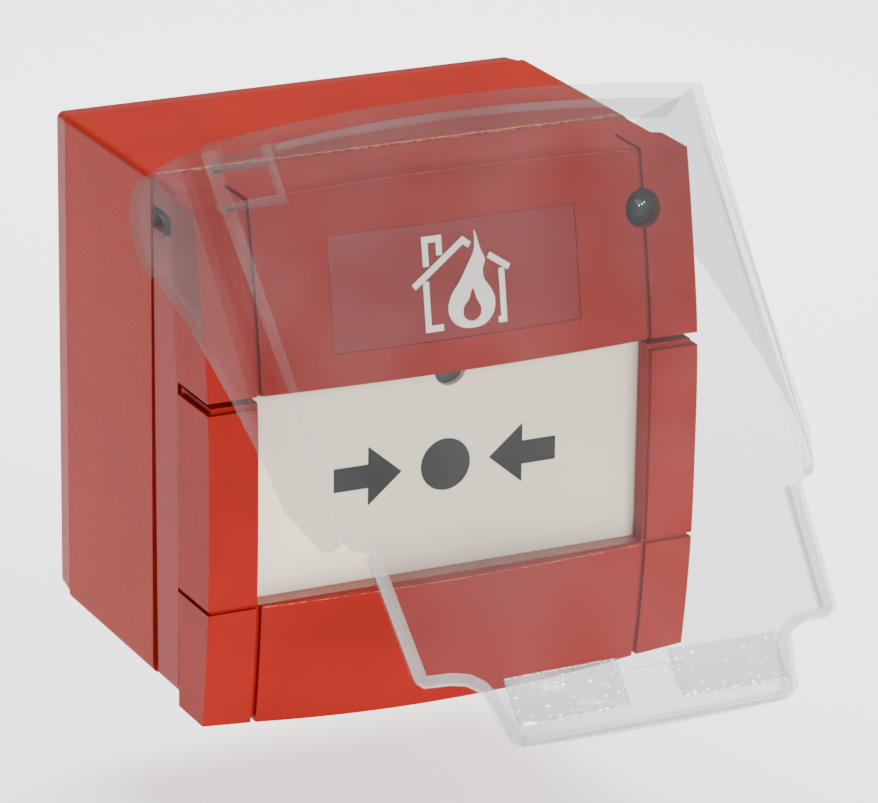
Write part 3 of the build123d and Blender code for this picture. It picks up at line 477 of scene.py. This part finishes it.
cover_band("cover_slot_rib_right", dense_line([(-32.5, -7.2), (-32.5, 1.6)]), 0.0, 1.4, 2.45, 2.9,
           "clear_rib")
cover_band("cover_slot_rib_top", dense_line([(-34.0, -0.5), (-44.0, -0.5)]), 0.0, 1.4, 2.45, 2.9,
           "clear_rib")
ledge_line = [(x, 0.1 + 2.2 * (1 - (x / 41.0) ** 2)) for x in range(-32, 41, 2)]
cover_band("cover_ledge_root", ledge_line, 0.0, -1.0, 1.5, 2.4, "clear_rib")


def stipple_field(name, x0, x1, b0, b1, seed):
    """Closed pad on the outer face, covered in small random pips."""
    rng = random.Random(seed)
    nx = int((x1 - x0) / PIP_STEP)
    nb = int((b1 - b0) / PIP_STEP)
    height = [[0.0] * (nb + 1) for _ in range(nx + 1)]
    for _ in range(int((x1 - x0) * (b1 - b0) * PIP_DENSITY)):
        cx, cb = rng.uniform(1, nx - 1), rng.uniform(1, nb - 1)
        size, top = rng.uniform(*PIP_SIZE), rng.uniform(*PIP_TOP)
        for i in range(max(1, int(cx - 3)), min(nx, int(cx + 4))):
            for j in range(max(1, int(cb - 3)), min(nb, int(cb + 4))):
                fall = 1 - ((i - cx) ** 2 + (j - cb) ** 2) / size ** 2
                if fall > 0:
                    height[i][j] = max(height[i][j], top * math.sqrt(fall))
    verts, faces = [], []
    for i in range(nx + 1):
        for j in range(nb + 1):
            x = x0 + (x1 - x0) * i / nx
            b = b0 + (b1 - b0) * j / nb
            verts.append(cover_point(x, b, -PAD_LIFT - height[i][j]))
    row = nb + 1
    for i in range(nx):
        for j in range(nb):
            k = i * row + j
            faces.append((k, k + 1, k + row + 1, k + row))
    count = len(verts)
    ring = list(range(row)) + [i * row + nb for i in range(1, nx + 1)] \
        + [nx * row + j for j in range(nb - 1, -1, -1)] + [i * row for i in range(nx - 1, 0, -1)]
    under = []
    for k in ring:
        i, j = divmod(k, row)
        under.append(cover_point(x0 + (x1 - x0) * i / nx, b0 + (b1 - b0) * j / nb, PAD_DEPTH))
    verts += under
    for k in range(len(ring)):
        nxt = (k + 1) % len(ring)
        faces.append((ring[k], ring[nxt], count + nxt, count + k))
    faces.append(tuple(count + k for k in range(len(ring))))
    return add_mesh(name, verts, faces, "clear_stipple", "cover", smooth=True)


stipple_field("cover_stipple_left", -STIPPLE_X[1], -STIPPLE_X[0], *STIPPLE_B, 11)
stipple_field("cover_stipple_right", *STIPPLE_X, *STIPPLE_B, 12)

# ------------------------------------------------------------------ studio
def plane(name, size, location):
    """Flat square facing up."""
    mesh = bpy.data.meshes.new(name)
    h = size / 2
    mesh.from_pydata([(-h, -h, 0), (h, -h, 0), (h, h, 0), (-h, h, 0)], [], [(0, 1, 2, 3)])
    obj = bpy.data.objects.new(name, mesh)
    obj.location = location
    bpy.context.scene.collection.objects.link(obj)
    return obj


floor_mat = Mat("floor").set(Base_Color=(0.96, 0.96, 0.96, 1), Roughness=0.9, Specular_IOR_Level=0.1)
floor = plane("floor", 8.0, (0, 0, FLOOR_Z))
floor.data.materials.append(floor_mat.material)


def only_on(light, receivers, name):
    """Limits a light to the given objects, which alone also block it."""
    group = bpy.data.collections.new(name)
    for obj in receivers:
        group.objects.link(obj)
    light.light_linking.receiver_collection = group
    light.light_linking.blocker_collection = group


def area_light(name, location, target, size, power):
    """Rectangular soft light at a place, turned to face its target."""
    lamp = bpy.data.lights.new(name, "AREA")
    lamp.shape = "RECTANGLE"
    lamp.size = size[0]
    lamp.size_y = size[1]
    lamp.energy = power
    obj = bpy.data.objects.new(name, lamp)
    obj.location = location
    direction = Vector(target) - Vector(location)
    obj.rotation_euler = direction.to_track_quat("-Z", "Y").to_euler()
    bpy.context.scene.collection.objects.link(obj)
    return obj


area_light("top_soft", (0.1, 0.35, 1.2), LOOK_AT, (1.0, 0.7), 28.0)
area_light("front_soft", (0.25, -1.5, 0.5), LOOK_AT, (1.0, 0.8), 44.0)
for i in range(3):
    small = area_light(f"front_small_{i}", (0.22 + 0.27 * i, -1.05 + 0.1 * i, -0.02 + 0.08 * i),
                       (0.035, -0.06, 0.034), (0.12, 0.12), 14.0)
    only_on(small, [NODES["led_lens"]], f"lens_only_{i}")
wash = bpy.data.lights.new("floor_wash", "SPOT")
wash.energy = 215.0
wash.spot_size = math.radians(48)
wash.spot_blend = 1.0
wash.shadow_soft_size = 0.4
floor_wash = bpy.data.objects.new("floor_wash", wash)
floor_wash.location = (0.45, 0.8, 1.3)
aim = Vector((0.16, 0.28, FLOOR_Z)) - Vector(floor_wash.location)
floor_wash.rotation_euler = aim.to_track_quat("-Z", "Y").to_euler()
bpy.context.scene.collection.objects.link(floor_wash)
only_on(floor_wash, [floor], "floor_only")

world = bpy.data.worlds.new("studio")
bpy.context.scene.world = world
world.use_nodes = True
world.node_tree.nodes["Background"].inputs["Color"].default_value = (1, 1, 1, 1)
world.node_tree.nodes["Background"].inputs["Strength"].default_value = 0.4

# ------------------------------------------------------------------ camera
camera_data = bpy.data.cameras.new("camera")
camera_data.lens = 215.65
camera_data.sensor_width = 36.0
camera_data.sensor_fit = "HORIZONTAL"
camera_data.clip_start = 0.05
camera_data.clip_end = 30.0
camera = bpy.data.objects.new("camera", camera_data)
azimuth = math.radians(-26.354)
elevation = math.radians(19.634)
roll = math.radians(0.838)
forward = Vector((-math.sin(azimuth) * math.cos(elevation), math.cos(azimuth) * math.cos(elevation),
                  -math.sin(elevation)))
right = forward.cross(Vector((0, 0, 1))).normalized()
up = right.cross(forward)
right_rolled = right * math.cos(roll) + up * math.sin(roll)
up_rolled = up * math.cos(roll) - right * math.sin(roll)
camera.matrix_world = Matrix((
    (right_rolled.x, up_rolled.x, -forward.x, -0.36178),
    (right_rolled.y, up_rolled.y, -forward.y, -0.79057),
    (right_rolled.z, up_rolled.z, -forward.z, 0.29509),
    (0, 0, 0, 1)))
bpy.context.scene.collection.objects.link(camera)
bpy.context.scene.camera = camera
